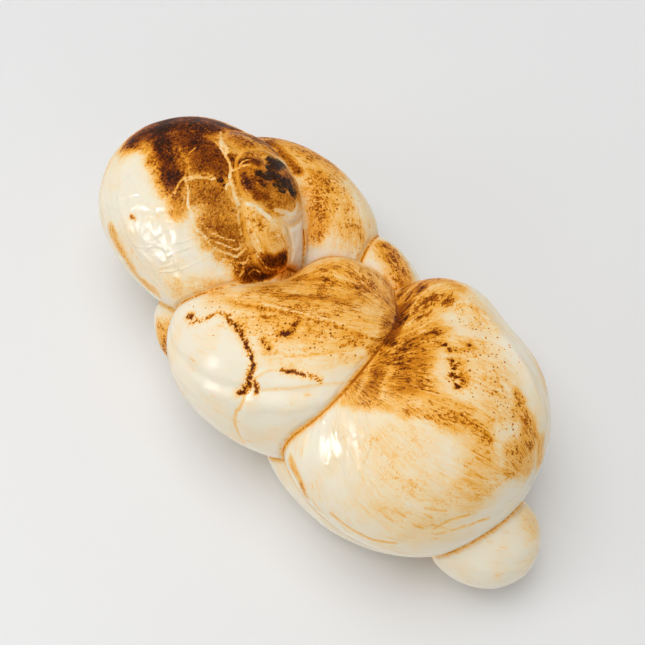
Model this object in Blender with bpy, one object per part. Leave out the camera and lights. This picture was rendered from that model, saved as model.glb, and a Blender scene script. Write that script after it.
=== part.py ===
# Braided smoked cheese: one soft rope of stretched curd, doubled into a loop and twisted on
# itself, lying on its back.  Every swelling of the rope is one bent egg.  The eggs are joined
# into a single solid, and what would sag below the table is pressed flat.
# Blender's unit is the metre; the eggs are described in millimetres.
import bpy
import bmesh
import numpy as np
from math import cos, radians, sin

MM = 0.001
SEGMENTS = 34            # sides round each egg
RINGS = 18               # rings from tip to tip of each egg
SETTLE_STEPS = 8         # steps that bring an egg's points onto its soft outline
PROBE = 0.05             # spacing used to measure an outline's slope
FLATTEST_SLOPE = 1 / 60  # slopes smaller than this are not trusted
OVERRUN = 1.2            # how far past its tips an egg's taper is followed
CREAM = (0.90, 0.81, 0.65, 1.0)

# at      centre of the egg
# reach   half length towards the head end and the tail end, along its own axis
# width   half width on its two sides
# height  half height below and above the centre
# turn    compass direction of the axis, in degrees from +X towards +Y
# tilt    rise of the axis, in degrees
# bend    curvature of the axis, seen from above, in 1/mm
# taper   growth of width and of height from the middle to the tail end
# blunt   2 is a true ellipsoid, more is blunter
# humps   smaller eggs that swell the outline softly
# soft    how far such a swelling spreads
HEAD = dict(
    at=(-36.5, 34.5, 26), reach=(30, 37), width=(26, 27.5), height=(28, 24), turn=-50, blunt=2.2,
    soft=2.0,
    humps=[
        dict(at=(-29, 13, 27), reach=17, width=14, height=15, turn=-5),
        dict(at=(-32, 30, 40), reach=13, width=12, height=9, turn=-52),
    ],
)
LOOP = dict(
    at=(-4, 37.5, 20), reach=(47, 36), width=(15, 16), height=(21, 18), turn=-48, bend=-1 / 27,
    soft=2.0,
    humps=[dict(at=(-13.5, 46, 26), reach=15, width=10, height=10.5, turn=-35)],
)
KNOT = dict(at=(-17, 31.5, 41), reach=(10.5, 12.5), width=(12.3, 8.7), height=(10, 9.5), turn=-50)
KNOT_CREST = dict(at=(-23.3, 40.7, 39), reach=11.5, width=8.5, height=9.3, turn=-35)
KNOT_STRAP = dict(
    at=(-19, 20, 39.3), reach=(18, 14), width=6, height=8, turn=-62, tilt=-18, taper=(0.3, 0.3),
)
MIDDLE = dict(
    at=(-7, -13, 23), reach=(36, 38), width=(27.5, 20), height=(25, 24), turn=-14, bend=1 / 54,
    taper=(0.15, 0.2), blunt=2.2, soft=2.5,
    humps=[
        dict(at=(5, 1, 26), reach=16, width=14, height=17, turn=-20),
        dict(at=(1, -25, 36), reach=14, width=9.5, height=9.5, turn=40),
    ],
)
MIDDLE_BACK = dict(at=(-36, 4, 12), reach=14, width=12, height=13, turn=-60)
NECK = dict(at=(15.5, 14, 15), reach=20, width=13, height=(17, 16), turn=-60)
LOWER = dict(
    at=(26, -31.5, 23), reach=(38, 33.5), width=(36, 36), height=(26, 26), turn=-32,
    taper=(0.0, 0.15), blunt=2.1, soft=2.5,
    humps=[dict(at=(33, -6, 27), reach=15, width=14, height=15, turn=-20)],
)
UNDER_STRAND = dict(
    at=(4.5, -44, 11), reach=36, width=(11.3, 12), height=12, turn=-45, bend=1 / 60, taper=(-0.2, -0.2),
)
TAIL = dict(at=(42.5, -58.5, 11), reach=(16, 15), width=14, height=12, turn=-15)

EGGS = [
    HEAD, LOOP, KNOT, KNOT_CREST, KNOT_STRAP, MIDDLE, MIDDLE_BACK, NECK, LOWER, UNDER_STRAND, TAIL,
]


def two_sided(size):
    """A size given once holds on both sides of the centre."""
    return size if isinstance(size, tuple) else (size, size)


def egg_axes(egg):
    """The egg's own directions: along its axis, across it, and up."""
    turn = radians(egg["turn"])
    tilt = radians(egg.get("tilt", 0))
    along = np.array([cos(tilt) * cos(turn), cos(tilt) * sin(turn), sin(tilt)])
    across = np.array([-sin(turn), cos(turn), 0.0])
    return along, across, np.cross(along, across)


def straighten(x, y, bend):
    """Undo the bend of an axis: arc length along it, and offset from it."""
    if not bend:
        return x, y
    side = np.sign(bend)
    radius = abs(1 / bend)
    away = np.hypot(x, radius - side * y)
    return radius * np.arctan2(x, radius - side * y), side * (radius - away)


def curl(x, y, bend):
    """Lay a straight axis along its arc."""
    if not bend:
        return x, y
    side = np.sign(bend)
    radius = abs(1 / bend)
    away = radius - side * y
    return away * np.sin(x / radius), side * (radius - away * np.cos(x / radius))


def fullness(egg, points):
    """1 on the egg's surface, less inside it and more outside."""
    along, across, up = egg_axes(egg)
    offset = points - np.array(egg["at"], float)
    x, y = straighten(offset @ along, offset @ across, egg.get("bend", 0))
    z = offset @ up
    reach, width, height = (
        np.where(value < 0, *two_sided(egg[size]))
        for value, size in zip((x, y, z), ("reach", "width", "height"))
    )
    place = np.clip(x / reach, -OVERRUN, OVERRUN)
    widen, heighten = egg.get("taper", (0, 0))
    ring = np.hypot(y / (width * (1 + widen * place)), z / (height * (1 + heighten * place)))
    blunt = egg.get("blunt", 2)
    return (np.abs(x / reach) ** blunt + ring ** blunt) ** (1 / blunt)


def slope(measure, points, value):
    """How the measure changes along X, Y and Z."""
    steps = PROBE * np.eye(3)
    return np.stack([measure(points + step) - value for step in steps], axis=-1) / PROBE


def distance(egg, points):
    """About how far each point lies outside the egg, humps and all."""
    def measure(where):
        return fullness(egg, where)

    value = measure(points)
    steepness = np.linalg.norm(slope(measure, points, value), axis=-1)
    own = (value - 1) / np.maximum(steepness, FLATTEST_SLOPE)
    humps = egg.get("humps", [])
    if not humps:
        return own
    all_of_them = np.stack([own] + [distance(hump, points) for hump in humps])
    nearest = all_of_them.min(axis=0)
    blend = np.exp(-(all_of_them - nearest) / egg["soft"]).sum(axis=0)
    return nearest - egg["soft"] * np.log(blend)


def egg_points(egg, ball):
    """Carry the points of a unit ball, with its poles on Z, onto the egg's surface."""
    x, y, z = ball[:, 2], ball[:, 0], ball[:, 1]
    x, y, z = (
        value * np.where(value < 0, *two_sided(egg[size]))
        for value, size in zip((x, y, z), ("reach", "width", "height"))
    )
    x, y = curl(x, y, egg.get("bend", 0))
    along, across, up = egg_axes(egg)
    points = np.array(egg["at"], float) + x[:, None] * along + y[:, None] * across + z[:, None] * up

    def measure(where):
        return distance(egg, where)

    for _ in range(SETTLE_STEPS):
        value = measure(points)
        change = slope(measure, points, value)
        steep = np.maximum((change ** 2).sum(axis=1), 0.2)
        points = points - change * (value / steep)[:, None]
    return points


def egg_object(name, egg):
    """One egg as a closed mesh object, in metres."""
    bm = bmesh.new()
    bmesh.ops.create_uvsphere(bm, u_segments=SEGMENTS, v_segments=RINGS, radius=1.0)
    ball = np.array([vertex.co[:] for vertex in bm.verts])
    for vertex, place in zip(bm.verts, egg_points(egg, ball)):
        vertex.co = place * MM
    bmesh.ops.recalc_face_normals(bm, faces=bm.faces)
    mesh = bpy.data.meshes.new(name)
    bm.to_mesh(mesh)
    bm.free()
    made = bpy.data.objects.new(name, mesh)
    bpy.context.collection.objects.link(made)
    return made


def joined(name, pieces):
    """The union of the pieces as one new mesh, and the pieces removed."""
    whole = pieces[0]
    for piece in pieces[1:]:
        union = whole.modifiers.new("join " + piece.name, "BOOLEAN")
        union.operation = "UNION"
        union.solver = "EXACT"
        union.object = piece
    bpy.context.view_layer.update()
    graph = bpy.context.evaluated_depsgraph_get()
    mesh = bpy.data.meshes.new_from_object(whole.evaluated_get(graph))
    mesh.name = name
    for piece in pieces:
        bpy.data.objects.remove(piece, do_unlink=True)
    return mesh


def press_flat_and_centre(mesh):
    """Press what lies below the table flat, and centre the braid over its origin."""
    places = np.array([vertex.co[:] for vertex in mesh.vertices])
    places[:, 2] = np.maximum(places[:, 2], 0.0)
    middle = (places.min(axis=0) + places.max(axis=0)) / 2
    places[:, :2] -= middle[:2]
    mesh.vertices.foreach_set("co", places.ravel())
    mesh.update()


def cheese_material():
    """Smooth pale cheese."""
    material = bpy.data.materials.new("smoked cheese")
    material.use_nodes = True
    shader = material.node_tree.nodes["Principled BSDF"]
    shader.inputs["Base Color"].default_value = CREAM
    shader.inputs["Roughness"].default_value = 0.3
    shader.inputs["Metallic"].default_value = 0.0
    return material


for old in list(bpy.data.objects):
    bpy.data.objects.remove(old, do_unlink=True)

eggs = [egg_object("egg %d" % number, egg) for number, egg in enumerate(EGGS)]
braid_mesh = joined("cheese_braid", eggs)
press_flat_and_centre(braid_mesh)
braid_mesh.materials.clear()
braid_mesh.materials.append(cheese_material())
braid_mesh.shade_smooth()
braid = bpy.data.objects.new("cheese_braid", braid_mesh)
bpy.context.collection.objects.link(braid)
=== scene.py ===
import time
from math import cos, radians, sin

import bpy
import numpy as np
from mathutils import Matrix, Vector, kdtree, noise


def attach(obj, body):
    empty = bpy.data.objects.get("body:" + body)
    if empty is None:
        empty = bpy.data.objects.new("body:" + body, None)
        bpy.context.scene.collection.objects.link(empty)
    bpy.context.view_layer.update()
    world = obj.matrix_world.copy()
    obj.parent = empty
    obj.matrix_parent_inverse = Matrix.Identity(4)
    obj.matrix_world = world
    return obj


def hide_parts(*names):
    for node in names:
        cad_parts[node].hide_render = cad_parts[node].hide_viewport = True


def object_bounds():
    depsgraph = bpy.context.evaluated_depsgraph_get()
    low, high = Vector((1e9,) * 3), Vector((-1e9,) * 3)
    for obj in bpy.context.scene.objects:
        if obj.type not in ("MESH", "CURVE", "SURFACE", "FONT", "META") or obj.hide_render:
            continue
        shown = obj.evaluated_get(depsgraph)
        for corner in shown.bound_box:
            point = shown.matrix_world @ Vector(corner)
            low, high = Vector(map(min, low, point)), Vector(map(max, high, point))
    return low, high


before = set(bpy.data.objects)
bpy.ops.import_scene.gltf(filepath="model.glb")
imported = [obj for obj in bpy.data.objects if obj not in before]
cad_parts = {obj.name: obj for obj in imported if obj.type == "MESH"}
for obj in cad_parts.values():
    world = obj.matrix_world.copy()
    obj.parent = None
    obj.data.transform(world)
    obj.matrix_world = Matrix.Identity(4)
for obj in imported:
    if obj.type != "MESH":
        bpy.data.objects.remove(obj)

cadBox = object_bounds()
startTime = time.time()
mm = 0.001


def report(stage):
    print("%5.1f s  %s" % (time.time() - startTime, stage))


# the braid's eggs: one for every swelling of the rope, in millimetres
# at: centre, reach: half length (head side, tail side), width and height: half sizes on both sides,
# turn and tilt: direction of the axis in degrees, bend: its curvature, humps: soft swellings
head = dict(
    at=(-36.5, 34.5, 26), reach=(30, 37), width=(26, 27.5), height=(28, 24), turn=-50, blunt=2.2, soft=2.0,
    humps=[
        dict(at=(-29, 13, 27), reach=17, width=14, height=15, turn=-5),
        dict(at=(-32, 30, 40), reach=13, width=12, height=9, turn=-52),
    ],
)
loop = dict(
    at=(-4, 37.5, 20), reach=(47, 36), width=(15, 16), height=(21, 18), turn=-48, bend=-1 / 27, soft=2.0,
    humps=[dict(at=(-13.5, 46, 26), reach=15, width=10, height=10.5, turn=-35)],
)
knot = dict(at=(-17, 31.5, 41), reach=(10.5, 12.5), width=(12.3, 8.7), height=(10, 9.5), turn=-50)
knotCrest = dict(at=(-23.3, 40.7, 39), reach=11.5, width=8.5, height=9.3, turn=-35)
knotStrap = dict(at=(-19, 20, 39.3), reach=(18, 14), width=6, height=8, turn=-62, tilt=-18, taper=(0.3, 0.3))
middleFold = dict(
    at=(-7, -13, 23), reach=(36, 38), width=(27.5, 20), height=(25, 24), turn=-14, bend=1 / 54,
    taper=(0.15, 0.2), blunt=2.2, soft=2.5,
    humps=[
        dict(at=(5, 1, 26), reach=16, width=14, height=17, turn=-20),
        dict(at=(1, -25, 36), reach=14, width=9.5, height=9.5, turn=40),
    ],
)
middleBack = dict(at=(-36, 4, 12), reach=14, width=12, height=13, turn=-60)
neck = dict(at=(15.5, 14, 15), reach=20, width=13, height=(17, 16), turn=-60)
lowerFold = dict(
    at=(26, -31.5, 23), reach=(38, 33.5), width=(36, 36), height=(26, 26), turn=-32,
    taper=(0.0, 0.15), blunt=2.1, soft=2.5,
    humps=[dict(at=(33, -6, 27), reach=15, width=14, height=15, turn=-20)],
)
underStrand = dict(
    at=(4.5, -44, 11), reach=36, width=(11.3, 12), height=12, turn=-45, bend=1 / 60, taper=(-0.2, -0.2),
)
tail = dict(at=(42.5, -58.5, 11), reach=(16, 15), width=(14, 14), height=12, turn=-15)

eggs = [
    head, knot, knotCrest, knotStrap, loop, middleFold, middleBack, neck, lowerFold, underStrand, tail,
]
headGroup = [0, 1, 2, 3]       # fused: their joints are soft
braidShape = dict(
    voxel=0.71,  # mesh fineness, mm
    fusedBlend=2.5,                     # softness of the head's own joints, mm
    creaseBlend=0.3,                    # softness of the creases between folds, mm
    grooveDepth=0.4, grooveWidth=0.8,   # how tightly the folds pinch each other, mm
    jointDepth=0.4, jointWidth=1.0,     # the same for the head's own joints
    lumps=0.35, lumpSize=13,            # soft unevenness of the folds, mm
    fibres=0.10, fibreSize=2.2,         # fibre ridges in the shape, mm
    wobbleSize=3.5,                     # the marks stray from their paths in waves this long, mm
    wobbleSeed=7,                       # any whole number from 1: the same waves each run
    smokeWobble=0.9, stainWobble=0.3,   # and this far, mm
    veinWobble=0.25, reliefWobble=0.5,
)
leastSlope = 1 / 60                     # of any egg's fullness, per mm
nearEnough, notNear = 7.0, 30.0         # eggs farther than this are taken as being so far off, mm
farEnough = 6.0                         # a crease or joint changes nothing beyond this, mm


def bothSides(size):
    return size if isinstance(size, tuple) else (size, size)


def eggAxes(egg):
    turn, tilt = radians(egg["turn"]), radians(egg.get("tilt", 0))
    along = np.array([cos(tilt) * cos(turn), cos(tilt) * sin(turn), sin(tilt)])
    across = np.array([-sin(turn), cos(turn), 0.0])
    return along, across, np.cross(along, across)


def straighten(x, y, bend):
    if not bend:
        return x, y
    side, radius = np.sign(bend), abs(1 / bend)
    away = np.hypot(x, radius - side * y)
    return radius * np.arctan2(x, radius - side * y), side * (radius - away)


def curl(x, y, bend):
    if not bend:
        return x, y
    side, radius = np.sign(bend), abs(1 / bend)
    away = radius - side * y
    return away * np.sin(x / radius), side * (radius - away * np.cos(x / radius))


def ownPlace(egg, points):  # along, across and up from the egg's centre, with its bend undone
    along, across, up = eggAxes(egg)
    offset = points - np.array(egg["at"], float)
    x, y = straighten(offset @ along, offset @ across, egg.get("bend", 0))
    return x, y, offset @ up


def scaledPlace(egg, points):
    place = ownPlace(egg, points)
    reach, width, height = (
        np.where(value < 0, *bothSides(egg[size]))
        for value, size in zip(place, ("reach", "width", "height"))
    )
    x, y, z = place
    x = x / reach
    widen, heighten = egg.get("taper", (0, 0))
    capped = np.clip(x, -1.2, 1.2)
    return x, y / (width * (1 + widen * capped)), z / (height * (1 + heighten * capped))


def fullness(egg, points):  # 1 on the egg's surface
    x, y, z = scaledPlace(egg, points)
    blunt = egg.get("blunt", 2)
    return (np.abs(x) ** blunt + np.hypot(y, z) ** blunt) ** (1 / blunt)


def slopeOf(measure, points, value, step=0.05):
    return np.stack([measure(points + step * axis) - value for axis in np.eye(3)], axis=-1) / step


def softest(distances, blend):  # the smallest distance, rounded where two are alike
    nearest = distances.min(axis=0)
    return nearest - blend * np.log(np.exp(-(distances - nearest) / blend).sum(axis=0))


def distanceTo(egg, points):
    value = fullness(egg, points)
    steepness = np.linalg.norm(slopeOf(lambda p: fullness(egg, p), points, value), axis=-1)
    own = (value - 1) / np.maximum(steepness, leastSlope)
    humps = egg.get("humps", [])
    if not humps:
        return own
    return softest(np.stack([own] + [distanceTo(hump, points) for hump in humps]), egg["soft"])


def eggDistances(points, near=None):  # near: for each egg, the points worth measuring
    if near is None:
        return np.stack([distanceTo(egg, points) for egg in eggs])
    distances = np.full((len(eggs), len(points)), notNear)
    for row, egg, close in zip(distances, eggs, near):
        row[close] = distanceTo(egg, points[close])
    return distances


def braidDistance(points, near=None):
    distances = eggDistances(points, near)
    fused = softest(distances[headGroup], braidShape["fusedBlend"])
    rest = [number for number in range(len(eggs)) if number not in headGroup]
    return softest(np.vstack([fused[None], distances[rest]]), braidShape["creaseBlend"])


def settle(points, measure, steps):
    for _ in range(steps):
        value = measure(points)
        change = slopeOf(measure, points, value)
        points = points - change * (value / np.maximum((change ** 2).sum(axis=1), 0.2))[:, None]
    return points


def eggBall(egg, segments=40, rings=24):  # a closed ball of points and faces, laid on the egg
    polar = np.linspace(0, np.pi, rings + 1)[1:-1]
    turn = np.linspace(0, 2 * np.pi, segments, endpoint=False)
    polar, turn = np.meshgrid(polar, turn, indexing="ij")
    ball = np.stack([np.cos(polar), np.sin(polar) * np.cos(turn), np.sin(polar) * np.sin(turn)], -1)
    ball = np.vstack([[[1, 0, 0]], ball.reshape(-1, 3), [[-1, 0, 0]]])
    place = [ball[:, i] * np.where(ball[:, i] < 0, *bothSides(egg[size]))
             for i, size in enumerate(("reach", "width", "height"))]
    x, y = curl(place[0], place[1], egg.get("bend", 0))
    along, across, up = eggAxes(egg)
    points = egg["at"] + np.stack([x, y, place[2]], axis=1) @ np.stack([along, across, up])
    points = settle(points, lambda p: distanceTo(egg, p), steps=6)
    last = len(points) - 1
    faces = []
    for spoke in range(segments):
        after = (spoke + 1) % segments
        faces.append((0, 1 + spoke, 1 + after))
        for ring in range(rings - 2):
            first = 1 + ring * segments
            faces.append((first + spoke, first + segments + spoke, first + segments + after, first + after))
        first = 1 + (rings - 2) * segments
        faces.append((first + spoke, last, first + after))
    return points, faces


def roughBraid():  # all the eggs in one mesh, remeshed into a single skin
    points, faces = [], []
    for egg in eggs:
        start = sum(map(len, points))
        own, ownFaces = eggBall(egg)
        points.append(own)
        faces += [tuple(start + corner for corner in face) for face in ownFaces]
    points = np.vstack(points)
    mesh = bpy.data.meshes.new("eggs")
    mesh.from_pydata((points * mm).tolist(), [], faces)
    holder = bpy.data.objects.new("eggs", mesh)
    bpy.context.collection.objects.link(holder)
    remesh = holder.modifiers.new("skin", "REMESH")
    remesh.mode = "VOXEL"
    remesh.voxel_size = braidShape["voxel"] * mm
    graph = bpy.context.evaluated_depsgraph_get()
    skin = bpy.data.meshes.new_from_object(holder.evaluated_get(graph))
    bpy.data.objects.remove(holder)
    return skin


def meshPoints(mesh):
    points = np.empty(len(mesh.vertices) * 3)
    mesh.vertices.foreach_get("co", points)
    return points.reshape(-1, 3)


def evenOut(points, edges, steps):  # slide the points towards their neighbours' middle
    count = np.bincount(edges.ravel(), minlength=len(points))[:, None]
    for _ in range(steps):
        total = np.zeros_like(points)
        np.add.at(total, edges[:, 0], points[edges[:, 1]])
        np.add.at(total, edges[:, 1], points[edges[:, 0]])
        points = 0.5 * points + 0.5 * total / count
    return points


skin = roughBraid()
report("skin of %d faces" % len(skin.polygons))
places = meshPoints(skin) / mm
edges = np.empty(len(skin.edges) * 2, int)
skin.edges.foreach_get("vertices", edges)
edges = edges.reshape(-1, 2)
near = [np.flatnonzero(row < nearEnough) for row in eggDistances(places)]


def skinDistance(points):
    return braidDistance(points, near)


places = settle(places, skinDistance, steps=2)
for _ in range(2):
    places = settle(evenOut(places, edges, steps=2), skinDistance, steps=2)
report("skin settled on the folds")

distances = eggDistances(places, near)
owner = distances.argmin(axis=0)       # the egg that each point lies on
folds = np.vstack([distances[headGroup].min(axis=0)[None], distances[len(headGroup):]])
folds -= folds.min(axis=0)             # how far each fold is, the head taken as one
foldGap = np.sort(folds, axis=0)[1]    # how far the next fold is
crossing = (owner[edges[:, 0]] != owner[edges[:, 1]]) & (owner[edges] < len(headGroup)).all(axis=1)
crossing = edges[crossing]             # the edges over the head's own joints
joints = kdtree.KDTree(len(crossing))
for number, spot in enumerate(places[crossing].mean(axis=1)):
    joints.insert(spot, number)
joints.balance()
jointFar = np.full(len(places), farEnough)  # how far the next egg of the head is
for number in np.flatnonzero(owner < len(headGroup)):
    jointFar[number] = min(farEnough, joints.find(places[number])[2])
normals = slopeOf(skinDistance, places, skinDistance(places))
normals /= np.linalg.norm(normals, axis=1)[:, None]


# grain: places along and round the fibres, in mm across them and squeezed along them
def around(points, start, end):  # along the line from start to end, and the turn about it
    axis = np.subtract(end, start).astype(float)
    axis /= np.linalg.norm(axis)
    side = np.cross(axis, (0.0, 0.0, 1.0))
    side /= np.linalg.norm(side)
    offset = points - np.array(start, float)
    return offset @ axis, np.arctan2(offset @ side, offset @ np.cross(side, axis))


def lineGrain(points, start, end, girth, stretch):  # fibres gathered at both ends of a line
    along, turn = around(points, start, end)
    return np.stack([girth * np.cos(turn), girth * np.sin(turn), along / stretch], axis=1)


def ringGrain(points, centre, top, stretch, core=8):  # fibres in rings round the top
    axis = np.subtract(top, centre).astype(float)
    radius = np.linalg.norm(axis)
    _, turn = around(points, centre, top)
    offset = points - np.array(centre, float)
    away = radius * np.arccos(np.clip(offset @ (axis / radius) / np.linalg.norm(offset, axis=1), -1, 1))
    girth = radius / stretch * away / np.hypot(away, core)
    return np.stack([away, girth * np.cos(turn), girth * np.sin(turn)], axis=1)


def ownGrain(egg, points, stretch):  # fibres along the egg's own bent axis
    x, y, z = ownPlace(egg, points)
    girth = np.mean(bothSides(egg["width"]) + bothSides(egg["height"]))
    turn = np.arctan2(z, y)
    return np.stack([girth * np.cos(turn), girth * np.sin(turn), x / stretch], axis=1)


def grainOf(shortness):  # the larger it is, the shorter the fibres
    found = np.zeros_like(places)
    for number, egg in enumerate(eggs):
        mine = owner == number
        own = places[mine]
        if egg is head:
            found[mine] = ringGrain(own, (-33, 23, 24), (-28, 18, 50), 3 / shortness)
        elif egg is knot:
            found[mine] = ringGrain(own, (-14, 31, 38), (-13, 28, 50), 2 / shortness, 4)
        elif egg is middleFold:
            found[mine] = lineGrain(own, (-46, 4, 26), (20, -14, 42), 20, 6 / shortness)
        elif egg is lowerFold:
            found[mine] = lineGrain(own, (7, -29, 43), (56, -51, 26), 20, 6 / shortness)
        else:
            found[mine] = ownGrain(egg, own, 4 / shortness)
    return found + 40 * owner[:, None]


# marks: paths over the folds, each point given along the egg and round it in degrees
noise.seed_set(braidShape["wobbleSeed"])
wobble = np.array([noise.noise_vector(Vector(place / braidShape["wobbleSize"])) for place in places])


def laidPath(egg, path, spacing):  # the path's points, close together, about on the egg
    path = np.array(path, float)
    girth = np.mean(bothSides(egg["width"]) + bothSides(egg["height"]))
    if len(path) > 1:
        steps = np.hypot(np.diff(path[:, 0]), girth * np.radians(np.diff(path[:, 1])))
        length = np.concatenate([[0], np.cumsum(steps)])
        at = np.linspace(0, length[-1], max(2, int(length[-1] / spacing) + 1))
        path = np.stack([np.interp(at, length, path[:, i]) for i in (0, 1)], axis=1)
    x, turn = path[:, 0], np.radians(path[:, 1])
    place = np.clip(x / np.where(x < 0, *bothSides(egg["reach"])), -0.97, 0.97)
    blunt = egg.get("blunt", 2)
    widen, heighten = egg.get("taper", (0, 0))
    width = np.where(np.cos(turn) < 0, *bothSides(egg["width"])) * (1 + widen * place)
    height = np.where(np.sin(turn) < 0, *bothSides(egg["height"])) * (1 + heighten * place)
    ring = (1 - np.abs(place) ** blunt) ** (1 / blunt) / np.hypot(np.cos(turn) / width, np.sin(turn) / height)
    x, y = curl(x, ring * np.cos(turn), egg.get("bend", 0))
    along, across, up = eggAxes(egg)
    return egg["at"] + np.stack([x, y, ring * np.sin(turn)], axis=1) @ np.stack([along, across, up])


def laidMarks(marks):  # every mark's fold, strength, radius and points on the surface
    lines = [laidPath(egg, path, max(0.35, min(1.5, 0.6 * radius))) for egg, _, radius, *path in marks]
    points = settle(np.vstack(lines), braidDistance, steps=6)
    ends = np.cumsum([len(line) for line in lines])[:-1]
    rows = [max(0, eggs.index(mark[0]) - len(headGroup) + 1) for mark in marks]  # 0 for all of the head
    return [(row, mark[1], mark[2], line) for row, mark, line in zip(rows, marks, np.split(points, ends))]


def distanceToLine(points, line, most):  # numbers of the close points, and how far they are
    low, high = line.min(axis=0) - most, line.max(axis=0) + most
    close = np.flatnonzero(((points > low) & (points < high)).all(axis=1))
    away = np.full(len(close), 1e9)
    for spot in line:
        away = np.minimum(away, ((points[close] - spot) ** 2).sum(axis=1))
    return close, np.sqrt(away)


def marked(marks, points):  # soft marks: the strongest at every point, each on its own fold
    level = np.zeros(len(points))
    for row, strength, radius, line in laidMarks(marks):
        close, away = distanceToLine(points, line, 2.5 * radius)
        here = (1.3 - folds[row][close]).clip(0, 1)  # fades in the crease
        level[close] = np.maximum(level[close], here * strength * np.exp(-(away / radius) ** 3))
    return level


def edged(marks, points, most=3.0):  # crisp marks: mm outside the nearest one, and its strength
    outside, level = np.full(len(points), most), np.zeros(len(points))
    for _, strength, radius, line in laidMarks(marks):
        close, away = distanceToLine(points, line, radius + most)
        nearer = away - radius < outside[close]
        outside[close[nearer]] = away[nearer] - radius
        level[close[nearer]] = strength
    return outside, level


def raised(marks, points):  # ridges and grooves, added up, mm
    height = np.zeros(len(points))
    for _, strength, radius, line in laidMarks(marks):
        close, away = distanceToLine(points, line, 2.5 * radius)
        height[close] += strength * np.exp(-(away / radius) ** 2)
    return height


# paths with both a colour and a relief
headVein = [(-4, 57), (2, 67), (6, 70), (10, 73), (12, 78), (14, 79), (16, 81), (19, 83)]
headArcs = [
    [(12, 114), (17, 118), (21, 116), (25, 111), (27, 107), (27, 102)],
    [(19, 118), (22, 119), (25, 117), (28, 112), (28, 106), (28, 99)],
    [(23, 121), (26, 121), (29, 115), (30, 111), (30, 105), (29, 99)],
    [(34, 119), (32, 115), (32, 107), (33, 101)],
]
middleGroove = [(-21, 89), (-16, 88), (-10, 87), (-2, 88), (3, 90), (8, 92), (13, 95), (17, 99), (21, 103)]

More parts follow.
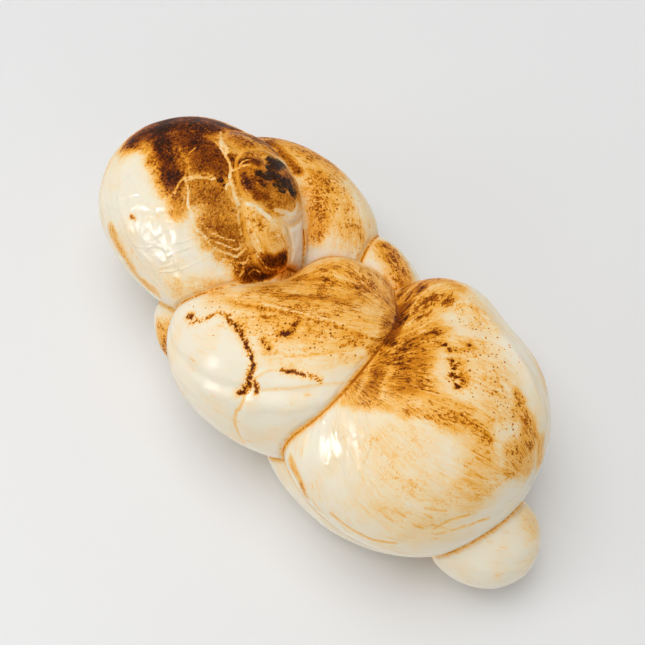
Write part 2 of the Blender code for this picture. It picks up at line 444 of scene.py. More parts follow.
# egg, how brown, radius in mm, then the path
smokeAndShadeMarks = [
    (head, 0.92, 6.5, (-20, 100), (-18, 90), (-16, 76), (-13, 64), (-8, 60)),
    (head, 0.9, 5, (-12, 92), (-6, 96), (-1, 102), (2, 106)),
    (head, 0.88, 5, (-22, 80), (-20, 62), (-14, 50), (-6, 46)),
    (head, 0.85, 7, (-9, 80), (-3, 76), (2, 80), (6, 78)),
    (head, 0.5, 3.5, (-18, 98), (-12, 101), (-5, 105), (0, 107), (5, 110), (9, 115)),
    (head, 0.66, 6.5, (9, 97), (13, 94), (17, 97), (20, 104), (23, 100)),
    (head, 0.66, 4, (22, 114), (26, 112), (29, 107)),
    (head, 0.95, 4.2, (32, 114), (33, 106), (34, 99)),
    (head, 0.6, 3, (-9, 45), (-4, 42), (0, 44)),
    (head, 0.32, 2.6, (-6, 165), (1, 171), (7, 183), (14, 179)),
    # these two: golden towards the head's end, beside the crease with the middle fold
    (head, 0.32, 4, (36, 128), (38, 112)),
    (head, 0.2, 4.5, (22, 160), (28, 148), (32, 134), (35, 120)),
    (knot, 0.66, 9, (0, 112), (4, 92), (6, 60)),
    (knot, 0.92, 1.6, (-4, 110), (-3, 97), (-1, 88)),
    (knot, 0.86, 1.7, (-1, 122), (3, 127), (6, 126), (7, 118)),
    (knot, 0.8, 3.5, (0, 62), (3, 76), (6, 62)),
    (knot, 0.64, 4, (9, 120), (10, 100), (10, 66)),
    (knotCrest, 0.56, 7, (-6, 90), (1, 80), (6, 70)),
    (knotCrest, 0.7, 2.5, (-8, 70), (0, 50), (8, 40)),
    (knotStrap, 0.32, 7, (-6, 95), (2, 86), (8, 80)),
    (knotStrap, 0.95, 3.2, (11, 118), (12, 95), (12, 70)),
    (loop, 0.75, 2.2, (-16, 68), (-10, 81), (-4, 90)),
    (loop, 0.44, 8, (-20, 50), (-10, 62), (-2, 58)),
    (loop, 0.4, 6.5, (-2, 74), (5, 84), (11, 93)),
    (loop, 0.45, 4, (10, 102), (17, 108)),
    (loop, 0.36, 6, (7, 74), (13, 76), (17, 72)),
    (loop, 0.14, 7, (0, 40), (10, 42), (20, 46)),
    (neck, 0.5, 4.6, (-4, 68), (3, 72), (9, 74)),
    (loop, 0.26, 6, (-30, 10), (-18, 2), (-4, -6)),
    (head, 0.26, 7, (-26, 150), (-24, 200)),
    (lowerFold, 0.24, 7, (-4, -8), (10, -2), (22, 12)),
    (tail, 0.18, 5, (11, 60), (13, 20)),
    (underStrand, 0.25, 5, (-10, 100), (0, 110), (10, 120)),
    (middleBack, 0.42, 5, (0, 150), (4, 170)),
    (middleFold, 0.38, 8, (-14, 66), (-4, 58), (8, 60), (18, 68)),
    (middleFold, 0.34, 7, (-10, 84), (0, 80), (12, 84), (22, 92)),
    (middleFold, 0.56, 2.6, (-4, 44), (6, 50), (15, 58)),
    (middleFold, 0.58, 2.2, (-8, 74), (4, 72), (14, 74)),
    (middleFold, 0.3, 6.5, (-10, 96), (2, 97), (16, 98)),
    (middleFold, 0.22, 6, (-2, 108), (8, 108), (18, 108)),
    (middleFold, 0.22, 6, (-24, 84), (-16, 84)),
    (middleFold, 0.46, 4, (20, 42), (25, 58), (26, 80)),
    (middleFold, 0.14, 5, (10, 114), (18, 108)),
    (middleFold, 0.52, 2.2, (26, 78), (24, 89), (22, 100), (19, 109)),
    (middleFold, 0.38, 6.5, (-10, 48), (2, 38), (12, 36), (20, 38), (26, 46)),
    (middleFold, 0.44, 7, (-2, 24), (12, 16), (24, 22)),
    (lowerFold, 0.8, 3, (-17, 44), (-16, 54), (-15, 64), (-14, 76)),
    (lowerFold, 0.42, 3, (-16, 94), (-16, 106), (-15, 118)),
    (lowerFold, 0.58, 3.4, (-13, 84), (-12, 98), (-11, 111)),
    (lowerFold, 0.55, 7.2, (-9, 70), (-6, 84), (-4, 98)),
    (lowerFold, 0.37, 5.5, (2, 98), (8, 102), (12, 101)),
    (lowerFold, 0.38, 2.4, (-15, 123), (-12, 120), (-6, 115), (0, 111), (6, 107), (12, 104)),
    (lowerFold, 0.4, 3.5, (14, 100), (18, 98), (20, 104)),
    (lowerFold, 0.66, 2.6, (-17, 46), (-17, 36), (-15, 28)),
    (lowerFold, 0.6, 3.2, (-21, 42), (-20, 30), (-18, 18)),
    (lowerFold, 0.42, 4.5, (-17, 26), (-12, 20), (-8, 24)),
    (lowerFold, 0.48, 6, (-12, 42), (-9, 33)),
    (lowerFold, 0.42, 6, (-12, 46), (-9, 54), (-6, 60)),
    (lowerFold, 0.2, 7, (-4, 30), (2, 38)),
    (lowerFold, 0.25, 8, (6, 62), (13, 70), (18, 78)),
    (lowerFold, 0.4, 3, (21, 66), (23, 74), (25, 70)),
    (lowerFold, 0.4, 4.5, (27, 72), (29, 84), (27, 98)),
    (lowerFold, 0.36, 4, (28, 110), (31, 98)),
    (lowerFold, 0.36, 3, (30, 68), (33, 58)),
    # partly the rind's own golden tan, partly painted shade over the lower fold's lower right
    (lowerFold, 0.26, 7, (20, 110), (24, 122), (23, 134)),
    # painted shade: a faint tan over the lower fold's lower side
    (lowerFold, 0.14, 13, (2, 132), (8, 145), (14, 150)),
    (lowerFold, 0.3, 1.6, (-22, 171), (-17, 173), (-15, 180)),
]
charMarks = [
    (knot, 1.0, 2.4, (-1, 60), (0, 46)),
    (knot, 1.0, 1.8, (1, 72), (1, 60)),
    (knot, 0.95, 1.4, (1, 102), (2, 97)),
    (knot, 0.95, 1.5, (3, 92), (3, 80), (4, 69)),
    (knot, 1.0, 1.8, (6, 68), (7, 54), (9, 53)),
    (knot, 0.9, 1.3, (6, 86), (8, 79)),
    (knot, 0.85, 0.9, (6, 30), (5, 36)),
    (knot, 0.8, 0.9, (5, 107)),
    (knotCrest, 0.6, 1.0, (-2, 60), (4, 58)),
]
freckleMarks = [
    (lowerFold, 1.2, 11, (8, 70), (14, 80), (22, 85)),
    (lowerFold, 1.1, 8, (-4, 36), (4, 42), (12, 50)),
    (lowerFold, 1.6, 3.5, (2, 66), (4, 76), (7, 86)),
    (middleFold, 1.15, 9, (-24, 104), (-12, 98), (2, 98), (14, 100)),
    (loop, 0.9, 10, (0, 60), (12, 80), (18, 70)),
    (head, 0.6, 5, (-10, 110), (-2, 116), (6, 126)),
    (head, 0.5, 6, (-8, 160), (4, 172)),
]
stainMarks = [
    (head, 1.2, 0.5, (10, 84), (11, 84)),
    (head, 1.2, 0.5, (12.5, 84.5), (13, 85)),
    (head, 0.9, 0.3, (6, 114), (6, 110)),
    (head, 0.7, 0.25, (-1, 143), (0, 142)),
    (middleFold, 0.9, 0.3, (-17, 102), (-16, 105), (-14, 106)),
    (middleFold, 0.95, 0.35, (-14, 105), (-12, 109), (-10, 113), (-9, 116)),
    (middleFold, 0.95, 0.3, (-9, 116), (-7, 121), (-6, 127), (-6, 134)),
    (middleFold, 0.95, 0.6, (-6, 134), (-6, 139), (-7, 145)),
    (middleFold, 0.85, 0.3, (-5, 134), (-4, 140)),
    (middleFold, 0.75, 0.1, (-25, 125), (-24, 121), (-22, 113), (-20, 102), (-17, 102)),
    (middleFold, 0.95, 0.5, (-27, 121), (-26, 119)),
    (middleFold, 0.9, 0.2, (-6, 109), (-5, 111), (-4, 113)),
    (middleFold, 0.95, 0.7, (-2, 102), (-1, 102), (0, 100)),
    (middleFold, 0.9, 0.4, (0, 96), (1, 94)),
    (middleFold, 0.85, 0.3, (2, 90)),
    (middleFold, 0.8, 0.3, (4, 97)),
    (middleFold, 0.7, 0.3, (-9, 93), (-7, 94), (-5, 91)),
    (middleFold, 0.9, 0.2, (0, 124), (2, 124)),
    (middleFold, 0.98, 0.3, (2, 124), (3, 124), (5, 125)),
    (middleFold, 0.9, 0.1, (5, 125), (7, 125), (8, 127)),
    (middleFold, 0.22, 0.1, (0, 124), (-2, 125), (-4, 130), (-6, 138)),
    (middleFold, 0.22, 0.05, (-5, 140), (0, 135), (5, 131), (9, 128), (15, 126)),
    (middleFold, 0.5, 0.1, (0, 116), (4, 114), (8, 112), (13, 109)),
    (middleFold, 0.66, 0.2, *middleGroove),
    (middleFold, 0.32, 0.1, (-6, 145), (-6, 151), (-7, 158), (-7, 168), (-6, 176), (-5, 184)),
    (lowerFold, 0.4, 0.1, (19, 161), (22, 154), (25, 150)),
    (lowerFold, 0.36, 0.1, (15, 150), (20, 149)),
    (lowerFold, 0.36, 0.1, (20, 164), (25, 160), (29, 157)),
    (lowerFold, 0.3, 0.1, (13, 147), (18, 144)),
    (lowerFold, 0.32, 0.3, (-6, 175), (0, 177), (6, 177), (12, 174)),
    (lowerFold, 0.36, 0.1, (-15, 124), (-12, 121), (-6, 116), (0, 112), (6, 108), (12, 105)),
    (lowerFold, 0.95, 0.6, (-1, 65)),
    (lowerFold, 0.95, 0.6, (1, 67)),
    (lowerFold, 0.9, 0.5, (2, 66)),
    (lowerFold, 0.9, 0.5, (4, 58)),
    (lowerFold, 0.95, 0.7, (3, 74)),
    (lowerFold, 0.95, 0.6, (4, 77)),
    (lowerFold, 0.9, 0.5, (5, 74)),
    (lowerFold, 0.95, 0.7, (5, 82)),
    (lowerFold, 0.9, 0.6, (6, 82)),
    (lowerFold, 0.9, 0.6, (7, 79)),
    (lowerFold, 0.9, 0.5, (8, 81)),
    (lowerFold, 0.98, 0.7, (8, 86)),
]
veinAndHighlightMarks = [
    (head, 0.85, 0.2, (3, 99), (1, 93), (-2, 87), (-3, 80)),
    (head, 0.55, 0.25, (-7, 91), (-3, 94), (1, 98)),
    (head, 0.55, 0.2, (-6, 87), (-3, 91), (1, 97)),
    (head, 0.45, 0.2, (-8, 95), (-4, 96), (1, 99)),
    (head, 0.85, 0.2, (3, 99), (5, 93), (7, 87), (9, 85)),
    (head, 0.9, 0.25, (4, 100), (6, 94), (8, 89), (10, 86)),
    (head, 0.8, 0.25, (3, 100), (4, 106), (5, 112)),
    (head, 0.5, 0.1, (-8, 84), (-7, 89), (-5, 94)),
    (head, 0.5, 0.15, (-6, 69), (-3, 67), (2, 67)),
    (head, 0.5, 0.1, (-4, 83), (-2, 91), (0, 97)),
    (head, 0.4, 0.05, (-2, 82), (2, 81), (5, 78), (8, 78)),
    (head, 0.9, 0.3, (4, 100), (7, 103), (10, 110), (14, 115)),
    (head, 0.9, 0.35, *headVein),
    (head, 0.7, 0.4, (-1, 62), (2, 64), (5, 67)),
    (head, 0.6, 0.3, (-1, 66), (3, 67)),
    (head, 0.85, 0.3, (11, 72), (12, 67), (13, 62)),
    (head, 0.85, 0.3, (13, 77), (13, 82), (14, 85)),
    (head, 0.9, 0.25, *headArcs[0]),
    (head, 0.9, 0.2, (16, 112), (20, 112), (23, 108), (25, 103)),
    (head, 0.9, 0.25, *headArcs[1]),
    (head, 0.85, 0.15, *headArcs[2]),
    (head, 0.8, 0.25, (30, 111), (31, 117), (31, 122)),
    (head, 0.9, 0.1, *headArcs[3]),
    (head, 0.75, 0.05, (33, 103), (31, 99)),
    (knotStrap, 0.8, 0.25, (8, 122), (12, 120), (13, 108)),
    (head, 0.7, 0.25, (16, 80), (21, 88), (25, 95)),
    (head, 0.6, 0.15, (-14, 60), (-6, 62), (0, 60)),
    (head, 0.5, 0.15, (-12, 52), (-5, 52), (1, 55)),
    (knot, 0.75, 0.5, (10, 128), (12, 105), (13, 60), (11, 36)),
    (knot, 0.6, 0.3, (-7, 60), (0, 30), (8, 26)),
    (knot, 0.85, 0.25, (-4, 112), (-4, 103), (-3, 95)),
    (knotStrap, 0.85, 0.6, (-5, 96), (-4, 90), (-4, 81), (-1, 77), (1, 69)),
    (knotStrap, 0.6, 0.15, (-8, 84), (0, 76), (8, 66)),
    (knotStrap, 0.6, 0.15, (-8, 96), (0, 92), (9, 88)),
    (knotStrap, 0.6, 0.15, (-6, 108), (0, 106), (7, 104)),
    (loop, 0.6, 0.2, (-17, 64), (-11, 77), (-5, 85)),
    # painted highlight: a pale spot on the loop beside the strap
    (loop, 0.7, 0.7, (9, 112), (13, 120)),
    (lowerFold, 0.55, 0.15, (-13, 65), (-14, 49), (-15, 35)),
    (lowerFold, 0.55, 0.15, (-13, 73), (-10, 62), (-7, 49), (-5, 43)),
    (lowerFold, 0.5, 0.1, (-13, 84), (-10, 71), (-7, 56)),
    (lowerFold, 0.45, 0.1, (-14, 95), (-10, 85), (-7, 78)),
    (lowerFold, 0.45, 0.05, (-2, 101), (1, 95), (4, 90)),
    (middleFold, 0.6, 0.3, (-10, 84), (-2, 85), (3, 87), (8, 89), (13, 92), (17, 96), (21, 100)),
]
reliefMarks = [                                          # height in mm, then as above
    (head, 0.3, 0.8, (-1, 134), (0, 131), (2, 128), (4, 125), (5, 123), (8, 123), (11, 126), (12, 129)),
    (head, 0.3, 0.7, (1, 136), (3, 139), (5, 140)),
    (head, 0.3, 0.7, (4, 136), (8, 138), (12, 140), (15, 144)),
    (head, 0.3, 0.8, (7, 131), (11, 135), (15, 139), (18, 144)),
    (head, 0.35, 0.9, (12, 123), (14, 132), (17, 139), (22, 147)),
    (head, 0.25, 0.8, (0, 154), (6, 157), (11, 157)),
    (head, 0.25, 0.8, (-10, 138), (-5, 146), (1, 152)),
    (head, 0.2, 0.9, (-14, 122), (-9, 124), (-3, 128)),
    (head, -0.45, 1.0, *headVein),
    (head, -0.4, 1.2, (-3, 80), (-2, 87), (3, 99)),
    (head, -0.35, 1.0, (3, 99), (7, 91), (10, 85)),
    (head, -0.3, 1.4, (4, 100), (8, 105), (14, 115)),
    (head, -0.4, 0.8, *headArcs[0]),
    (head, -0.4, 0.8, *headArcs[1]),
    (head, -0.5, 0.9, *headArcs[2]),
    (head, -0.4, 0.8, *headArcs[3]),
    (head, 0.5, 4.5, (14, 96), (19, 102)),
    (knot, 0.9, 4.0, (-1, 100), (3, 108)),
    (knot, -0.5, 1.1, (-5, 70), (1, 78), (5, 90), (8, 108), (8, 124)),
    (knotCrest, 0.4, 2.0, (-2, 80)),
    (lowerFold, -0.25, 0.8, (-15, 126), (-7, 116), (1, 113), (7, 112)),
    (lowerFold, 0.6, 2.6, (-3, 32), (4, 34), (13, 42), (21, 47), (28, 49)),
    (lowerFold, 0.3, 0.8, (-14, 128), (-10, 131), (-6, 133)),
    (lowerFold, 0.3, 0.8, (-14, 138), (-10, 144), (-4, 152), (-1, 160)),
    (lowerFold, -0.25, 1.2, (20, 161), (26, 156), (31, 155)),
    (lowerFold, -0.2, 1.2, (13, 173), (18, 161), (23, 151)),
    (middleFold, -0.45, 1.3, (-24, 153), (-18, 150), (-13, 147), (-7, 142), (0, 136), (7, 132)),
    (middleFold, 0.45, 2.4, (-14, 155), (-5, 150), (4, 142), (10, 136)),
    (middleFold, -0.35, 2.4, (-16, 104), (-9, 118), (-6, 131), (-6, 143)),
    (middleFold, 0.5, 7, (-18, 124), (-14, 132)),
    (middleFold, -0.6, 0.8, *middleGroove),
    (middleFold, 0.25, 0.9, (-16, 86), (-4, 85), (8, 91), (19, 99)),
    (middleFold, -0.2, 0.9, (-12, 70), (0, 66), (12, 72)),
    (middleFold, -0.25, 0.9, (-2, 152), (6, 142), (12, 136)),
    (middleFold, -0.3, 1.2, (-6, 145), (-7, 158), (-7, 171), (-7, 184)),
]
filmMarks = [                                            # where the skin is finely wrinkled
    (head, 1.0, 12, (-4, 136), (6, 136), (16, 144)),
    (lowerFold, 0.9, 10, (-12, 132), (-6, 145)),
    (lowerFold, 0.7, 6, (-4, 118), (4, 124)),
    (middleFold, 0.35, 8, (-6, 152), (8, 142)),
    (head, 0.5, 7, (-12, 92), (-2, 92)),
    (knotCrest, 0.8, 5, (-2, 84)),
]
woolMarks = [                                            # where the fibres curl
    (head, 1.0, 7.5, (9, 97), (14, 94), (20, 103), (24, 108)),
    (head, 0.3, 9, (-14, 84), (-4, 84)),
    (head, 0.8, 4.5, (32, 112), (34, 100)),
    (knot, 0.8, 6, (9, 110), (10, 66)),
    (knotCrest, 0.5, 8, (-2, 80), (4, 70)),
    (knotStrap, 0.3, 9, (-4, 95), (6, 80)),
]

smokePlaces = places + braidShape["smokeWobble"] * wobble
paint = dict(
    # browning by smoke, with a few marks of painted shade in it
    smokeAndShade=marked(smokeAndShadeMarks, smokePlaces),
    char=marked(charMarks, smokePlaces),
    freckle=marked(freckleMarks, smokePlaces),
    film=marked(filmMarks, places),
    wool=marked(woolMarks, places),
    calm=((np.minimum(jointFar, foldGap) - 0.4) / 1.1).clip(0, 1),  # 0 where the fibres of two eggs meet
    jointFar=jointFar,
    foldGap=np.minimum(foldGap, farEnough),
    grain=grainOf(shortness=1),
    shortGrain=grainOf(shortness=4),
)
paint["stainFar"], paint["stainLevel"] = edged(stainMarks, places + braidShape["stainWobble"] * wobble)
# pale veins, with one painted highlight among them
paint["veinAndHighlightFar"], paint["veinAndHighlightLevel"] = edged(veinAndHighlightMarks, places + braidShape["veinWobble"] * wobble)
report("marks painted")

pinch = np.exp(-(foldGap / braidShape["grooveWidth"]) ** 2)
jointPinch = np.exp(-(jointFar / braidShape["jointWidth"]) ** 2)
lumps = np.array([noise.noise(Vector(place / braidShape["lumpSize"])) for place in places])
fibres = np.array([
    noise.fractal(Vector(place / braidShape["fibreSize"]), 0.7, 2.0, 2) for place in paint["grain"]
])
relief = (braidShape["lumps"] * lumps + braidShape["fibres"] * fibres
          - braidShape["grooveDepth"] * pinch - braidShape["jointDepth"] * jointPinch
          + raised(reliefMarks, places + braidShape["reliefWobble"] * wobble))
places += normals * relief[:, None]
places[:, 2] = np.maximum(places[:, 2], 0)
middle = (places.min(axis=0) + places.max(axis=0)) / 2
cadMiddle = np.array((cadBox[0] + cadBox[1]) / 2) / mm
shift = np.array([cadMiddle[0] - middle[0], cadMiddle[1] - middle[1], 0])
places += shift
skin.vertices.foreach_set("co", (places * mm).ravel())
skin.update()
report("creases pinched, shift %s" % shift.round(2))


def keep(name, values):  # a value for every point, for the material
    flat = values.ndim == 1
    layer = skin.attributes.new(name, "FLOAT" if flat else "FLOAT_VECTOR", "POINT")
    layer.data.foreach_set("value" if flat else "vector", values.ravel())


for name, values in paint.items():
    keep(name, values)

braid = bpy.data.objects.new("smokedBraid", skin)
bpy.context.collection.objects.link(braid)
skin.shade_smooth()

# the rind: cream to nearly black, by how far smoking and fire browned it, with some painted shade, sheen and
# highlight mixed in
rindLook = dict(
    streaks=0.8, fineStreaks=0.5, cords=2.2, waves=4.0, flecks=0.9,  # fibre patterns, mm across the fibres
    mottle=1.1, grit=0.6, clumps=5, patches=9, skinFolds=7.0,        # the other patterns, mm
    freckleNet=1.05, freckle=0.30,                                   # freckles' distance and largest size, mm
    roughness=(0.26, 0.45), translucence=(0.30, 0.03),               # pale rind, dark rind
    wetness=(0.07, 0.5),                                             # plain skin, wrinkled film
    streakDepth=0.10, fineStreakDepth=0.04, waveDepth=0.5,           # relief finer than the mesh, mm
    skinLineDepth=0.12, mottleDepth=0.20, gritDepth=0.06, curlDepth=0.25,
)
rind = bpy.data.materials.new("smokedRind")
rind.use_nodes = True
tree = rind.node_tree
shader = tree.nodes["Principled BSDF"]


def add(kind, sockets=None, **settings):
    made = tree.nodes.new("ShaderNode" + kind)
    for name, value in settings.items():
        setattr(made, name, value)
    for name, value in (sockets or {}).items():
        if isinstance(value, bpy.types.NodeSocket):
            tree.links.new(value, made.inputs[name])
        else:
            made.inputs[name].default_value = value
    return made


def calc(operation, *values):
    made = add("Math", operation=operation)
    for socket, value in zip(made.inputs, values):
        if isinstance(value, bpy.types.NodeSocket):
            tree.links.new(value, socket)
        else:
            socket.default_value = value
    return made.outputs[0]


def remap(value, low, high, to=(0, 1), smooth=True):
    sockets = {"Value": value, "From Min": low, "From Max": high, "To Min": to[0], "To Max": to[1]}
    return add("MapRange", sockets, interpolation_type="SMOOTHSTEP" if smooth else "LINEAR").outputs["Result"]


def speckle(where, size, detail=2, rough=0.5, twist=0):
    made = add("TexNoise", {"Vector": where, "Scale": 1 / size, "Detail": detail, "Roughness": rough,
                            "Distortion": twist})
    return made.outputs["Fac"]


def kept(name, output="Fac"):
    return add("Attribute", attribute_name=name).outputs[output]


def plus(*values):
    total = values[0]
    for value in values[1:]:
        total = calc("ADD", total, value)
    return total


def times(a, b):
    return calc("MULTIPLY", a, b)


def sway(pattern, amount):  # the pattern, evenly above and below nothing
    return times(calc("SUBTRACT", pattern, 0.5), amount)


grainAt = kept("grain", "Vector")
objectAt = add("VectorMath", {0: add("TexCoord").outputs["Object"], 1: (1000, 1000, 1000)},
               operation="MULTIPLY").outputs[0]
# the smoke browning, with the painted shade marks in it
smokeAndShadeAt = kept("smokeAndShade")
streaks = speckle(grainAt, rindLook["streaks"], 3, 0.6, 0.5)
fineStreaks = speckle(grainAt, rindLook["fineStreaks"], 2, 0.6, 0.5)
mottle = speckle(objectAt, rindLook["mottle"], 3, 0.6, 0.6)
curls = speckle(objectAt, rindLook["mottle"], 2, 0.6, 1.5)
patches = speckle(objectAt, rindLook["patches"], 2)
clumps = speckle(objectAt, rindLook["clumps"], 2)
grit = speckle(objectAt, rindLook["grit"], 1, 0.5)
flecks = speckle(kept("shortGrain", "Vector"), rindLook["flecks"], 2, 0.65, 0.3)
cords = speckle(grainAt, rindLook["cords"], 2, 0.5, 0.3)


def ridge(value, width):  # 1 on the lines where a noise passes its middle
    return remap(calc("ABSOLUTE", calc("SUBTRACT", value, 0.5)), width, 0.0)


smokedAndShaded = remap(smokeAndShadeAt, 0.02, 0.15)
uneven = sway(clumps, 0.5)
streaky = plus(sway(cords, 0.6), sway(streaks, 0.6), sway(mottle, 0.45))
nearStain = times(remap(kept("stainFar"), 3.0, 0.0), remap(kept("stainLevel"), 0.6, 0.9))
lighter = calc("MAXIMUM", calc("SUBTRACT", 1.15, times(smokeAndShadeAt, 1.15)), 0.22)  # contrasts fade in the dark
flecked = remap(plus(flecks, times(smokeAndShadeAt, 0.17), times(nearStain, 0.05), times(uneven, 1.1)), 0.62, 0.69)
dotted = remap(plus(grit, times(smokeAndShadeAt, 0.2), times(nearStain, 0.06), uneven), 0.72, 0.78)
visible = times(smokeAndShadeAt, lighter)
darker = plus(times(flecked, plus(0.04, times(visible, remap(smokeAndShadeAt, 0.1, 0.4, (0.2, 0.8))))),
              times(dotted, plus(0.10, times(visible, 0.50))))
darker = times(darker, remap(kept("wool"), 0, 1, (1, 0.45)))
# pale lines on the fibre ridges: partly the rind's own pale threads, partly painted sheen
paleFibresAndSheen = times(plus(ridge(fineStreaks, 0.035), ridge(cords, 0.02)),
                   times(smokeAndShadeAt, plus(0.08, times(lighter, 0.25))))
paleCurls = times(kept("wool"), plus(times(ridge(curls, 0.04), 0.26), sway(curls, 0.8)))
contrast = times(lighter, plus(times(streaky, 1.7), uneven))
level = times(smokeAndShadeAt, plus(0.83, times(smokeAndShadeAt, 0.13), contrast))
level = plus(level, times(calc("MAXIMUM", smokedAndShaded, nearStain), darker))
level = calc("SUBTRACT", level, plus(paleFibresAndSheen, paleCurls))
faint = times(remap(streaks, 0.56, 0.72), remap(patches, 0.40, 0.65, (0.02, 0.16)))
level = plus(level, faint, times(remap(patches, 0.42, 0.70), 0.05))

# freckles: one spot in each cell of a net, some left out
net = add("TexVoronoi", {"Vector": objectAt, "Scale": 1 / rindLook["freckleNet"], "Randomness": 1.0})
chance = add("SeparateColor", {"Color": net.outputs["Color"]}).outputs
size = remap(calc("SUBTRACT", kept("freckle"), chance[0]), 0.0, 0.9, (0.0, rindLook["freckle"]), smooth=False)
spot = remap(calc("SUBTRACT", size, plus(net.outputs["Distance"], sway(grit, 0.25))), -0.05, 0.10)
level = plus(level, times(spot, remap(chance[1], 0, 1, (0.15, 0.55))))

# creases: golden beside them and brown inside; the brown is painted crease shade, the golden band partly the
# rind's own colour and partly a painted warm glow
gapAt = kept("foldGap")
# golden band beside each crease: partly the rind's own gold, partly a painted warm glow
creaseGoldAndGlow = times(remap(plus(gapAt, sway(streaks, 2)), 1.3, 0.1), 0.26)
level = calc("MAXIMUM", level, creaseGoldAndGlow)
# painted crease shade: browner the closer the next fold is
level = calc("MAXIMUM", level, times(remap(gapAt, 0.5, 0.1), plus(0.50, times(smokeAndShadeAt, 0.4))))

# thin dark stains with golden edges, then pale veins, one of them a painted highlight
ragged = plus(sway(grit, 0.8), sway(mottle, 3.5))
stainAt = kept("stainFar")
ragged = times(ragged, remap(kept("stainLevel"), 0.4, 0.8, (0.2, 1)))
stained = times(remap(plus(stainAt, ragged), 0.9, -0.4), kept("stainLevel"))
halo = times(remap(plus(stainAt, ragged), 2.2, 0.0), remap(kept("stainLevel"), 0.5, 0.9, (0, 0.14)))
level = calc("MAXIMUM", plus(level, times(halo, remap(level, 0.5, 0.2))), stained)
veinedAndHighlit = times(remap(plus(kept("veinAndHighlightFar"), times(ragged, 0.2)), 0.30, -0.10), kept("veinAndHighlightLevel"))
joint = times(remap(plus(kept("jointFar"), times(ragged, 0.3)), 0.85, 0.25), 0.75)
level = times(level, calc("SUBTRACT", 1, times(veinedAndHighlit, remap(clumps, 0.35, 0.6, (0.6, 0.95)))))
level = plus(times(level, calc("SUBTRACT", 1, joint)), times(joint, plus(0.18, times(smokeAndShadeAt, 0.3))))
charred = remap(plus(kept("char"), sway(mottle, 1.6), times(ridge(curls, 0.03), -0.5)), 0.42, 0.48)
level = calc("MAXIMUM", level, times(charred, 1.2))

rindColours = [
    (0.00, (0.88, 0.80, 0.64)), (0.12, (0.92, 0.69, 0.38)), (0.25, (0.92, 0.52, 0.14)),
    (0.36, (0.87, 0.39, 0.040)), (0.48, (0.68, 0.24, 0.010)), (0.60, (0.46, 0.130, 0.003)),
    (0.75, (0.26, 0.056, 0.001)), (0.90, (0.12, 0.020, 0.001)), (1.08, (0.032, 0.008, 0.002)),
    (1.20, (0.024, 0.010, 0.004)),
]
ramp = add("ValToRGB", {"Fac": calc("DIVIDE", level, 1.25)})
stops = ramp.color_ramp.elements
while len(stops) < len(rindColours):
    stops.new(0.5)
for stop, (place, colour) in zip(stops, rindColours):
    stop.position = place / 1.25
    stop.color = (*colour, 1)
tree.links.new(ramp.outputs["Color"], shader.inputs["Base Color"])
tree.links.new(remap(level, 0.0, 1.0, rindLook["roughness"]), shader.inputs["Roughness"])
tree.links.new(remap(level, 0.0, 0.3, rindLook["translucence"]), shader.inputs["Subsurface Weight"])
wet = times(remap(kept("film"), 0.1, 0.9, rindLook["wetness"]), remap(level, 0.2, 1.0, (1.0, 0.3)))
tree.links.new(wet, shader.inputs["Coat Weight"])
shader.inputs["Subsurface Radius"].default_value = (1.0, 0.6, 0.3)
shader.inputs["Subsurface Scale"].default_value = 0.002
shader.inputs["Specular IOR Level"].default_value = 0.05
shader.inputs["Coat IOR"].default_value = 1.35
shader.inputs["Coat Roughness"].default_value = 0.04

# relief finer than the mesh, in mm
waves = speckle(grainAt, rindLook["waves"], 1)
between = add("VectorMath", {0: grainAt, 1: objectAt}, operation="ADD").outputs[0]
skinFolds = speckle(between, rindLook["skinFolds"], 1, 0.5, 0.5)
skinLines = times(ridge(skinFolds, 0.08), kept("film"))
fibreRelief = plus(times(streaks, rindLook["streakDepth"]), times(fineStreaks, rindLook["fineStreakDepth"]),
                   times(waves, rindLook["waveDepth"]), times(skinLines, rindLook["skinLineDepth"]))
height = plus(times(fibreRelief, kept("calm")), times(times(mottle, smokedAndShaded), rindLook["mottleDepth"]),
              times(times(grit, smokedAndShaded), rindLook["gritDepth"]), times(paleCurls, rindLook["curlDepth"]))
bump = add("Bump", {"Height": height, "Strength": 1.0, "Distance": 0.001})
tree.links.new(bump.outputs["Normal"], shader.inputs["Normal"])
tree.links.new(bump.outputs["Normal"], shader.inputs["Coat Normal"])
skin.materials.clear()
skin.materials.append(rind)
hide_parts("cheese_braid")
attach(braid, "root")
report("rind finished")

# table, light and camera
bpy.context.scene.view_settings.view_transform = "Standard"
table = dict(size=3.0, colour=(0.80, 0.80, 0.80, 1), roughness=0.5)
bpy.ops.mesh.primitive_plane_add(size=table["size"])
floor = bpy.context.object
floor.name = "paleTable"
tableFinish = bpy.data.materials.new("paleTable")
tableFinish.use_nodes = True
tableShader = tableFinish.node_tree.nodes["Principled BSDF"]
tableShader.inputs["Base Color"].default_value = table["colour"]
tableShader.inputs["Roughness"].default_value = table["roughness"]
floor.data.materials.append(tableFinish)
floor.visible_glossy = False

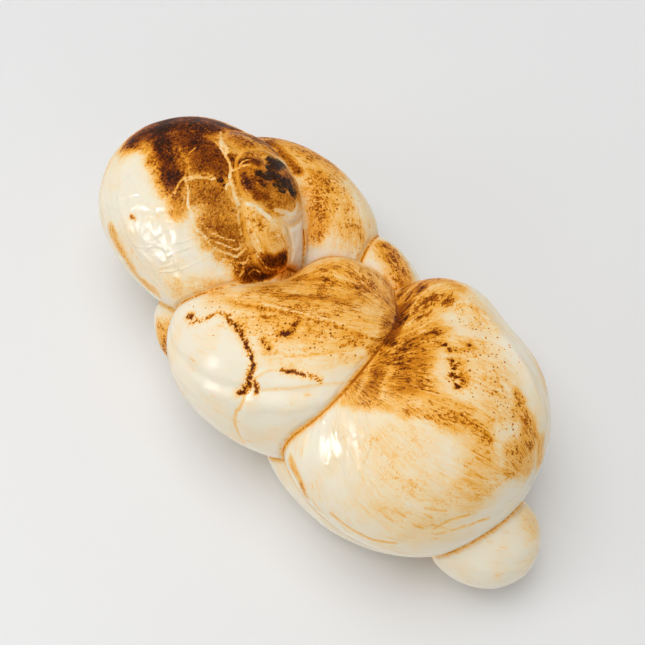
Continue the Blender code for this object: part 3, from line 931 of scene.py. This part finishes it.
studio = dict(between=(-0.5, -0.1), brightness=(0.85, 0.45))  # as pale as the table below, softer above
sky = bpy.data.worlds.new("studio")
bpy.context.scene.world = sky
sky.use_nodes = True
skyTree = sky.node_tree
skyWay = skyTree.nodes.new("ShaderNodeTexCoord")
skyHeight = skyTree.nodes.new("ShaderNodeSeparateXYZ")
skyShade = skyTree.nodes.new("ShaderNodeMapRange")
for socket, value in zip(list(skyShade.inputs)[1:5], studio["between"] + studio["brightness"]):
    socket.default_value = value
skyTree.links.new(skyWay.outputs["Generated"], skyHeight.inputs[0])
skyTree.links.new(skyHeight.outputs["Z"], skyShade.inputs["Value"])
skyTree.links.new(skyShade.outputs["Result"], skyTree.nodes["Background"].inputs["Strength"])
skyTree.nodes["Background"].inputs["Color"].default_value = (1, 1, 1, 1)


def softbox(name, at, size, power, mirrored):  # a mirrored one only makes highlights
    data = bpy.data.lights.new(name, "AREA")
    data.shape = "RECTANGLE"
    data.size, data.size_y = size
    data.energy = power
    lamp = bpy.data.objects.new(name, data)
    lamp.location = at
    lamp.rotation_euler = (-Vector(at)).to_track_quat("-Z", "Y").to_euler()
    lamp.visible_glossy, lamp.visible_diffuse = mirrored, not mirrored
    bpy.context.collection.objects.link(lamp)


softbox("window", (-0.64, -0.13, 0.26), (0.12, 0.26), 5.0, True)
softbox("skylight", (-0.36, 0.05, 0.71), (0.05, 0.12), 1.2, True)
softbox("rim", (0.45, 0.38, 0.13), (0.45, 0.03), 1.2, True)
softbox("daylight", (-0.64, -0.13, 0.26), (0.3, 0.3), 0.7, False)
softbox("ceiling", (-0.15, 0.15, 0.9), (0.9, 0.9), 5.2, False)
softbox("fill", (0.1, -0.8, 0.4), (0.6, 0.4), 0.7, False)

view = dict(lens=70, distance=0.351, elevation=60, aim=(0, 0, 0.022), nearest=0.01)
aim = Vector(view["aim"]) + Vector(shift * mm)
back = Vector((0, -cos(radians(view["elevation"])), sin(radians(view["elevation"]))))
cameraData = bpy.data.cameras.new("camera")
cameraData.lens = view["lens"]
cameraData.clip_start = view["nearest"]
camera = bpy.data.objects.new("camera", cameraData)
camera.location = aim + back * view["distance"]
camera.rotation_euler = (-back).to_track_quat("-Z", "Y").to_euler()
bpy.context.collection.objects.link(camera)
bpy.context.scene.camera = camera

report("scene made")
